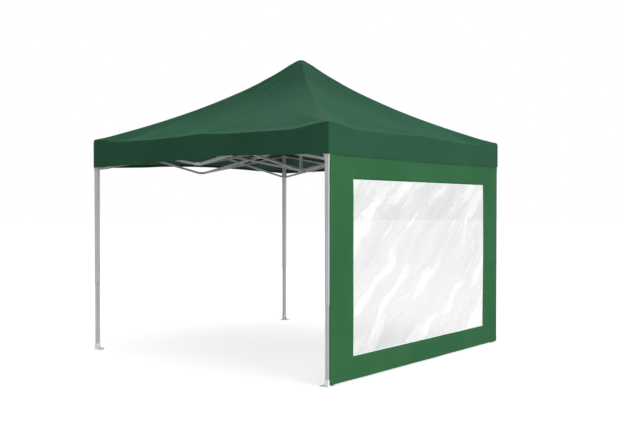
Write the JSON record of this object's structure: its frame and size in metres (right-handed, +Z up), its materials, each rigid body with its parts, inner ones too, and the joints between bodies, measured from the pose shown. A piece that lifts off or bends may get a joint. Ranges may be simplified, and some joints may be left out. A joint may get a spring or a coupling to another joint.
{
  "type": "pop up canopy",
  "caption": "Folding square canopy on telescoping legs: scissor-linked frame, peaked sewn roof with valances, and a side wall with a clear window.",
  "frame": {"origin": "on the ground, at the centre of the footprint", "axes": "+Z up; -Y is the open front; +X is the side that carries the wall"},
  "size_m": [3, 3, 2.976],
  "materials": {
    "white_tube": "satin",
    "bar_metal": "satin",
    "inner_tube": "satin",
    "joint_plastic": "matte",
    "pin_metal": "satin",
    "cover_fabric": "matte",
    "wall_fabric": "matte",
    "clear_window": "glossy"
  },
  "bodies": {
    "leg_outer_front_left": {"leg_outer_front_left": "white_tube"},
    "slider_front_left": {"slider_front_left": "joint_plastic"},
    "knuckle_upper_front": {"knuckle_upper_front": "joint_plastic"},
    "knuckle_lower_front": {"knuckle_lower_front": "joint_plastic"},
    "leg_inner_front_left": {"leg_inner_front_left": "inner_tube"},
    "height_pin_front_left": {"height_pin_front_left": "pin_metal"},
    "bar_front_1a": {"bar_front_1a": "bar_metal"},
    "bar_front_1b": {"bar_front_1b": "bar_metal"},
    "bar_front_2a": {"bar_front_2a": "bar_metal"},
    "bar_front_2b": {"bar_front_2b": "bar_metal"},
    "bar_centre_front_a": {"bar_centre_front_a": "bar_metal"},
    "bar_centre_front_b": {"bar_centre_front_b": "bar_metal"},
    "roof_gore_front": {"roof_gore_front": "cover_fabric"},
    "valance_front": {"valance_front": "cover_fabric"},
    "leg_outer_front_right": {"leg_outer_front_right": "white_tube"},
    "slider_front_right": {"slider_front_right": "joint_plastic"},
    "knuckle_upper_right": {"knuckle_upper_right": "joint_plastic", "sidewall": "wall_fabric", "sidewall_window": "clear_window"},
    "knuckle_lower_right": {"knuckle_lower_right": "joint_plastic"},
    "leg_inner_front_right": {"leg_inner_front_right": "inner_tube"},
    "height_pin_front_right": {"height_pin_front_right": "pin_metal"},
    "bar_right_1a": {"bar_right_1a": "bar_metal"},
    "bar_right_1b": {"bar_right_1b": "bar_metal"},
    "bar_right_2a": {"bar_right_2a": "bar_metal"},
    "bar_right_2b": {"bar_right_2b": "bar_metal"},
    "bar_centre_right_a": {"bar_centre_right_a": "bar_metal"},
    "bar_centre_right_b": {"bar_centre_right_b": "bar_metal"},
    "roof_gore_right": {"roof_gore_right": "cover_fabric"},
    "valance_right": {"valance_right": "cover_fabric"},
    "leg_outer_back_right": {"leg_outer_back_right": "white_tube"},
    "slider_back_right": {"slider_back_right": "joint_plastic"},
    "knuckle_upper_back": {"knuckle_upper_back": "joint_plastic"},
    "knuckle_lower_back": {"knuckle_lower_back": "joint_plastic"},
    "leg_inner_back_right": {"leg_inner_back_right": "inner_tube"},
    "height_pin_back_right": {"height_pin_back_right": "pin_metal"},
    "bar_back_1a": {"bar_back_1a": "bar_metal"},
    "bar_back_1b": {"bar_back_1b": "bar_metal"},
    "bar_back_2a": {"bar_back_2a": "bar_metal"},
    "bar_back_2b": {"bar_back_2b": "bar_metal"},
    "bar_centre_back_a": {"bar_centre_back_a": "bar_metal"},
    "bar_centre_back_b": {"bar_centre_back_b": "bar_metal"},
    "roof_gore_back": {"roof_gore_back": "cover_fabric"},
    "valance_back": {"valance_back": "cover_fabric"},
    "leg_outer_back_left": {"leg_outer_back_left": "white_tube"},
    "slider_back_left": {"slider_back_left": "joint_plastic"},
    "knuckle_upper_left": {"knuckle_upper_left": "joint_plastic"},
    "knuckle_lower_left": {"knuckle_lower_left": "joint_plastic"},
    "leg_inner_back_left": {"leg_inner_back_left": "inner_tube"},
    "height_pin_back_left": {"height_pin_back_left": "pin_metal"},
    "bar_left_1a": {"bar_left_1a": "bar_metal"},
    "bar_left_1b": {"bar_left_1b": "bar_metal"},
    "bar_left_2a": {"bar_left_2a": "bar_metal"},
    "bar_left_2b": {"bar_left_2b": "bar_metal"},
    "bar_centre_left_a": {"bar_centre_left_a": "bar_metal"},
    "bar_centre_left_b": {"bar_centre_left_b": "bar_metal"},
    "roof_gore_left": {"roof_gore_left": "cover_fabric"},
    "valance_left": {"valance_left": "cover_fabric"},
    "centre_hub_upper_with_mast": {"centre_hub_upper_with_mast": "joint_plastic"},
    "centre_hub_lower": {"centre_hub_lower": "joint_plastic"}
  },
  "joints": [
    {"name": "frame_fold", "type": "hinge", "parent": "centre_hub_upper_with_mast", "child": "bar_centre_front_a", "pos_m": [-0.0085, -0.06, 2.09], "axis": [1, 0, 0], "range_deg": [0, 75.7], "deforming": ["roof_gore_front", "roof_gore_right", "roof_gore_back", "roof_gore_left", "valance_front", "valance_right", "valance_back", "valance_left", "sidewall", "sidewall_window"]},
    {"name": "centre_front_knuckle", "type": "hinge", "parent": "bar_centre_front_a", "child": "knuckle_lower_front", "pos_m": [-0.0085, -1.438, 1.84], "axis": [-1, 0, 0], "range_deg": [0, 75.72]},
    {"name": "centre_front_cross", "type": "hinge", "parent": "bar_centre_front_a", "child": "bar_centre_front_b", "pos_m": [0, -0.749, 1.965], "axis": [-1, 0, 0], "range_deg": [0, 151.44]},
    {"name": "hub_lower_pivot", "type": "hinge", "parent": "bar_centre_front_b", "child": "centre_hub_lower", "pos_m": [0.0085, -0.06, 1.84], "axis": [-1, 0, 0], "range_deg": [-75.72, 0]},
    {"name": "front_lower_knuckle_1", "type": "hinge", "parent": "knuckle_lower_front", "child": "bar_front_1a", "pos_m": [-0.036, -1.4825, 1.84], "axis": [0, 1, 0], "range_deg": [0, 75.72]},
    {"name": "front_head_pivot", "type": "hinge", "parent": "bar_front_1a", "child": "leg_outer_front_left", "pos_m": [-1.414, -1.4825, 2.09], "axis": [0, 1, 0], "range_deg": [-75.72, 0]},
    {"name": "front_cross_1", "type": "hinge", "parent": "bar_front_1a", "child": "bar_front_1b", "pos_m": [-0.725, -1.474, 1.965], "axis": [0, 1, 0], "range_deg": [-151.44, 0]},
    {"name": "front_slider_pivot", "type": "hinge", "parent": "bar_front_1b", "child": "slider_front_left", "pos_m": [-1.414, -1.4655, 1.84], "axis": [0, 1, 0], "range_deg": [0, 75.72]},
    {"name": "front_upper_knuckle", "type": "hinge", "parent": "bar_front_1b", "child": "knuckle_upper_front", "pos_m": [-0.036, -1.4655, 2.09], "axis": [0, 1, 0], "range_deg": [0, 75.72]},
    {"name": "front_lower_knuckle_2", "type": "hinge", "parent": "knuckle_lower_front", "child": "bar_front_2a", "pos_m": [0.036, -1.4825, 1.84], "axis": [0, 1, 0], "range_deg": [-75.72, 0]},
    {"name": "front_cross_2", "type": "hinge", "parent": "bar_front_2a", "child": "bar_front_2b", "pos_m": [0.725, -1.474, 1.965], "axis": [0, 1, 0], "range_deg": [0, 151.44]},
    {"name": "centre_right_hub_pivot", "type": "hinge", "parent": "centre_hub_upper_with_mast", "child": "bar_centre_right_a", "pos_m": [0.06, -0.0085, 2.09], "axis": [0, 1, 0], "range_deg": [0, 75.72]},
    {"name": "centre_right_knuckle", "type": "hinge", "parent": "bar_centre_right_a", "child": "knuckle_lower_right", "pos_m": [1.438, -0.0085, 1.84], "axis": [0, -1, 0], "range_deg": [0, 75.72]},
    {"name": "centre_right_cross", "type": "hinge", "parent": "bar_centre_right_a", "child": "bar_centre_right_b", "pos_m": [0.749, 0, 1.965], "axis": [0, -1, 0], "range_deg": [0, 151.44]},
    {"name": "right_lower_knuckle_1", "type": "hinge", "parent": "knuckle_lower_right", "child": "bar_right_1a", "pos_m": [1.4825, -0.036, 1.84], "axis": [-1, 0, 0], "range_deg": [0, 75.72]},
    {"name": "right_head_pivot", "type": "hinge", "parent": "bar_right_1a", "child": "leg_outer_front_right", "pos_m": [1.4825, -1.414, 2.09], "axis": [-1, 0, 0], "range_deg": [-75.72, 0]},
    {"name": "right_cross_1", "type": "hinge", "parent": "bar_right_1a", "child": "bar_right_1b", "pos_m": [1.474, -0.725, 1.965], "axis": [-1, 0, 0], "range_deg": [-151.44, 0]},
    {"name": "right_slider_pivot", "type": "hinge", "parent": "bar_right_1b", "child": "slider_front_right", "pos_m": [1.4655, -1.414, 1.84], "axis": [-1, 0, 0], "range_deg": [0, 75.72]},
    {"name": "right_upper_knuckle", "type": "hinge", "parent": "bar_right_1b", "child": "knuckle_upper_right", "pos_m": [1.4655, -0.036, 2.09], "axis": [-1, 0, 0], "range_deg": [0, 75.72]},
    {"name": "right_lower_knuckle_2", "type": "hinge", "parent": "knuckle_lower_right", "child": "bar_right_2a", "pos_m": [1.4825, 0.036, 1.84], "axis": [-1, 0, 0], "range_deg": [-75.72, 0]},
    {"name": "right_cross_2", "type": "hinge", "parent": "bar_right_2a", "child": "bar_right_2b", "pos_m": [1.474, 0.725, 1.965], "axis": [-1, 0, 0], "range_deg": [0, 151.44]},
    {"name": "centre_back_hub_pivot", "type": "hinge", "parent": "centre_hub_upper_with_mast", "child": "bar_centre_back_a", "pos_m": [0.0085, 0.06, 2.09], "axis": [-1, 0, 0], "range_deg": [0, 75.72]},
    {"name": "centre_back_knuckle", "type": "hinge", "parent": "bar_centre_back_a", "child": "knuckle_lower_back", "pos_m": [0.0085, 1.438, 1.84], "axis": [1, 0, 0], "range_deg": [0, 75.72]},
    {"name": "centre_back_cross", "type": "hinge", "parent": "bar_centre_back_a", "child": "bar_centre_back_b", "pos_m": [0, 0.749, 1.965], "axis": [1, 0, 0], "range_deg": [0, 151.44]},
    {"name": "back_lower_knuckle_1", "type": "hinge", "parent": "knuckle_lower_back", "child": "bar_back_1a", "pos_m": [0.036, 1.4825, 1.84], "axis": [0, -1, 0], "range_deg": [0, 75.72]},
    {"name": "back_head_pivot", "type": "hinge", "parent": "bar_back_1a", "child": "leg_outer_back_right", "pos_m": [1.414, 1.4825, 2.09], "axis": [0, -1, 0], "range_deg": [-75.72, 0]},
    {"name": "back_cross_1", "type": "hinge", "parent": "bar_back_1a", "child": "bar_back_1b", "pos_m": [0.725, 1.474, 1.965], "axis": [0, -1, 0], "range_deg": [-151.44, 0]},
    {"name": "back_slider_pivot", "type": "hinge", "parent": "bar_back_1b", "child": "slider_back_right", "pos_m": [1.414, 1.4655, 1.84], "axis": [0, -1, 0], "range_deg": [0, 75.72]},
    {"name": "back_upper_knuckle", "type": "hinge", "parent": "bar_back_1b", "child": "knuckle_upper_back", "pos_m": [0.036, 1.4655, 2.09], "axis": [0, -1, 0], "range_deg": [0, 75.72]},
    {"name": "back_lower_knuckle_2", "type": "hinge", "parent": "knuckle_lower_back", "child": "bar_back_2a", "pos_m": [-0.036, 1.4825, 1.84], "axis": [0, -1, 0], "range_deg": [-75.72, 0]},
    {"name": "back_cross_2", "type": "hinge", "parent": "bar_back_2a", "child": "bar_back_2b", "pos_m": [-0.725, 1.474, 1.965], "axis": [0, -1, 0], "range_deg": [0, 151.44]},
    {"name": "centre_left_hub_pivot", "type": "hinge", "parent": "centre_hub_upper_with_mast", "child": "bar_centre_left_a", "pos_m": [-0.06, 0.0085, 2.09], "axis": [0, -1, 0], "range_deg": [0, 75.72]},
    {"name": "centre_left_knuckle", "type": "hinge", "parent": "bar_centre_left_a", "child": "knuckle_lower_left", "pos_m": [-1.438, 0.0085, 1.84], "axis": [0, 1, 0], "range_deg": [0, 75.72]},
    {"name": "centre_left_cross", "type": "hinge", "parent": "bar_centre_left_a", "child": "bar_centre_left_b", "pos_m": [-0.749, 0, 1.965], "axis": [0, 1, 0], "range_deg": [0, 151.44]},
    {"name": "left_lower_knuckle_1", "type": "hinge", "parent": "knuckle_lower_left", "child": "bar_left_1a", "pos_m": [-1.4825, 0.036, 1.84], "axis": [1, 0, 0], "range_deg": [0, 75.72]},
    {"name": "left_head_pivot", "type": "hinge", "parent": "bar_left_1a", "child": "leg_outer_back_left", "pos_m": [-1.4825, 1.414, 2.09], "axis": [1, 0, 0], "range_deg": [-75.72, 0]},
    {"name": "left_cross_1", "type": "hinge", "parent": "bar_left_1a", "child": "bar_left_1b", "pos_m": [-1.474, 0.725, 1.965], "axis": [1, 0, 0], "range_deg": [-151.44, 0]},
    {"name": "left_slider_pivot", "type": "hinge", "parent": "bar_left_1b", "child": "slider_back_left", "pos_m": [-1.4655, 1.414, 1.84], "axis": [1, 0, 0], "range_deg": [0, 75.72]},
    {"name": "left_upper_knuckle", "type": "hinge", "parent": "bar_left_1b", "child": "knuckle_upper_left", "pos_m": [-1.4655, 0.036, 2.09], "axis": [1, 0, 0], "range_deg": [0, 75.72]},
    {"name": "left_lower_knuckle_2", "type": "hinge", "parent": "knuckle_lower_left", "child": "bar_left_2a", "pos_m": [-1.4825, -0.036, 1.84], "axis": [1, 0, 0], "range_deg": [-75.72, 0]},
    {"name": "left_cross_2", "type": "hinge", "parent": "bar_left_2a", "child": "bar_left_2b", "pos_m": [-1.474, -0.725, 1.965], "axis": [1, 0, 0], "range_deg": [0, 151.44]},
    {"name": "roof_front_hang", "type": "hinge", "parent": "centre_hub_upper_with_mast", "child": "roof_gore_front", "pos_m": [0, 0, 2.976], "axis": [1, 0, 0], "range_deg": [0, 39.01]},
    {"name": "valance_front_hang", "type": "hinge", "parent": "roof_gore_front", "child": "valance_front", "pos_m": [0, -1.5, 2.1], "axis": [1, 0, 0], "range_deg": [-39.01, 0]},
    {"name": "roof_right_hang", "type": "hinge", "parent": "centre_hub_upper_with_mast", "child": "roof_gore_right", "pos_m": [0, 0, 2.976], "axis": [0, 1, 0], "range_deg": [0, 39.01]},
    {"name": "valance_right_hang", "type": "hinge", "parent": "roof_gore_right", "child": "valance_right", "pos_m": [1.5, 0, 2.1], "axis": [0, 1, 0], "range_deg": [-39.01, 0]},
    {"name": "roof_back_hang", "type": "hinge", "parent": "centre_hub_upper_with_mast", "child": "roof_gore_back", "pos_m": [0, 0, 2.976], "axis": [-1, 0, 0], "range_deg": [0, 39.01]},
    {"name": "valance_back_hang", "type": "hinge", "parent": "roof_gore_back", "child": "valance_back", "pos_m": [0, 1.5, 2.1], "axis": [-1, 0, 0], "range_deg": [-39.01, 0]},
    {"name": "roof_left_hang", "type": "hinge", "parent": "centre_hub_upper_with_mast", "child": "roof_gore_left", "pos_m": [0, 0, 2.976], "axis": [0, -1, 0], "range_deg": [0, 39.01]},
    {"name": "valance_left_hang", "type": "hinge", "parent": "roof_gore_left", "child": "valance_left", "pos_m": [-1.5, 0, 2.1], "axis": [0, -1, 0], "range_deg": [-39.01, 0]},
    {"name": "leg_height_front_left", "type": "slide", "parent": "leg_outer_front_left", "child": "leg_inner_front_left", "axis": [0, 0, 1], "range_m": [0, 0.59]},
    {"name": "height_pin_pull_front_left", "type": "slide", "parent": "leg_outer_front_left", "child": "height_pin_front_left", "axis": [1, 0, 0], "range_m": [0, 0.006], "stiffness_N_per_m": 900, "springref_m": -0.002},
    {"name": "leg_height_front_right", "type": "slide", "parent": "leg_outer_front_right", "child": "leg_inner_front_right", "axis": [0, 0, 1], "range_m": [0, 0.59]},
    {"name": "height_pin_pull_front_right", "type": "slide", "parent": "leg_outer_front_right", "child": "height_pin_front_right", "axis": [0, 1, 0], "range_m": [0, 0.006], "stiffness_N_per_m": 900, "springref_m": -0.002},
    {"name": "leg_height_back_right", "type": "slide", "parent": "leg_outer_back_right", "child": "leg_inner_back_right", "axis": [0, 0, 1], "range_m": [0, 0.59]},
    {"name": "height_pin_pull_back_right", "type": "slide", "parent": "leg_outer_back_right", "child": "height_pin_back_right", "axis": [-1, 0, 0], "range_m": [0, 0.006], "stiffness_N_per_m": 900, "springref_m": -0.002},
    {"name": "leg_height_back_left", "type": "slide", "parent": "leg_outer_back_left", "child": "leg_inner_back_left", "axis": [0, 0, 1], "range_m": [0, 0.59]},
    {"name": "height_pin_pull_back_left", "type": "slide", "parent": "leg_outer_back_left", "child": "height_pin_back_left", "axis": [0, -1, 0], "range_m": [0, 0.006], "stiffness_N_per_m": 900, "springref_m": -0.002}
  ],
  "couplings": [
    {"joint": "centre_front_knuckle", "follows": "frame_fold", "ratio": 1},
    {"joint": "centre_front_cross", "follows": "frame_fold", "ratio": 2},
    {"joint": "hub_lower_pivot", "follows": "frame_fold", "ratio": -1},
    {"joint": "front_lower_knuckle_1", "follows": "frame_fold", "ratio": 1},
    {"joint": "front_head_pivot", "follows": "frame_fold", "ratio": -1},
    {"joint": "front_cross_1", "follows": "frame_fold", "ratio": -2},
    {"joint": "front_slider_pivot", "follows": "frame_fold", "ratio": 1},
    {"joint": "front_upper_knuckle", "follows": "frame_fold", "ratio": 1},
    {"joint": "front_lower_knuckle_2", "follows": "frame_fold", "ratio": -1},
    {"joint": "front_cross_2", "follows": "frame_fold", "ratio": 2},
    {"joint": "centre_right_hub_pivot", "follows": "frame_fold", "ratio": 1},
    {"joint": "centre_right_knuckle", "follows": "frame_fold", "ratio": 1},
    {"joint": "centre_right_cross", "follows": "frame_fold", "ratio": 2},
    {"joint": "right_lower_knuckle_1", "follows": "frame_fold", "ratio": 1},
    {"joint": "right_head_pivot", "follows": "frame_fold", "ratio": -1},
    {"joint": "right_cross_1", "follows": "frame_fold", "ratio": -2},
    {"joint": "right_slider_pivot", "follows": "frame_fold", "ratio": 1},
    {"joint": "right_upper_knuckle", "follows": "frame_fold", "ratio": 1},
    {"joint": "right_lower_knuckle_2", "follows": "frame_fold", "ratio": -1},
    {"joint": "right_cross_2", "follows": "frame_fold", "ratio": 2},
    {"joint": "centre_back_hub_pivot", "follows": "frame_fold", "ratio": 1},
    {"joint": "centre_back_knuckle", "follows": "frame_fold", "ratio": 1},
    {"joint": "centre_back_cross", "follows": "frame_fold", "ratio": 2},
    {"joint": "back_lower_knuckle_1", "follows": "frame_fold", "ratio": 1},
    {"joint": "back_head_pivot", "follows": "frame_fold", "ratio": -1},
    {"joint": "back_cross_1", "follows": "frame_fold", "ratio": -2},
    {"joint": "back_slider_pivot", "follows": "frame_fold", "ratio": 1},
    {"joint": "back_upper_knuckle", "follows": "frame_fold", "ratio": 1},
    {"joint": "back_lower_knuckle_2", "follows": "frame_fold", "ratio": -1},
    {"joint": "back_cross_2", "follows": "frame_fold", "ratio": 2},
    {"joint": "centre_left_hub_pivot", "follows": "frame_fold", "ratio": 1},
    {"joint": "centre_left_knuckle", "follows": "frame_fold", "ratio": 1},
    {"joint": "centre_left_cross", "follows": "frame_fold", "ratio": 2},
    {"joint": "left_lower_knuckle_1", "follows": "frame_fold", "ratio": 1},
    {"joint": "left_head_pivot", "follows": "frame_fold", "ratio": -1},
    {"joint": "left_cross_1", "follows": "frame_fold", "ratio": -2},
    {"joint": "left_slider_pivot", "follows": "frame_fold", "ratio": 1},
    {"joint": "left_upper_knuckle", "follows": "frame_fold", "ratio": 1},
    {"joint": "left_lower_knuckle_2", "follows": "frame_fold", "ratio": -1},
    {"joint": "left_cross_2", "follows": "frame_fold", "ratio": 2},
    {"joint": "roof_front_hang", "follows": "frame_fold", "ratio": 0.51519},
    {"joint": "valance_front_hang", "follows": "frame_fold", "ratio": -0.51519},
    {"joint": "roof_right_hang", "follows": "frame_fold", "ratio": 0.51519},
    {"joint": "valance_right_hang", "follows": "frame_fold", "ratio": -0.51519},
    {"joint": "roof_back_hang", "follows": "frame_fold", "ratio": 0.51519},
    {"joint": "valance_back_hang", "follows": "frame_fold", "ratio": -0.51519},
    {"joint": "roof_left_hang", "follows": "frame_fold", "ratio": 0.51519},
    {"joint": "valance_left_hang", "follows": "frame_fold", "ratio": -0.51519}
  ]
}
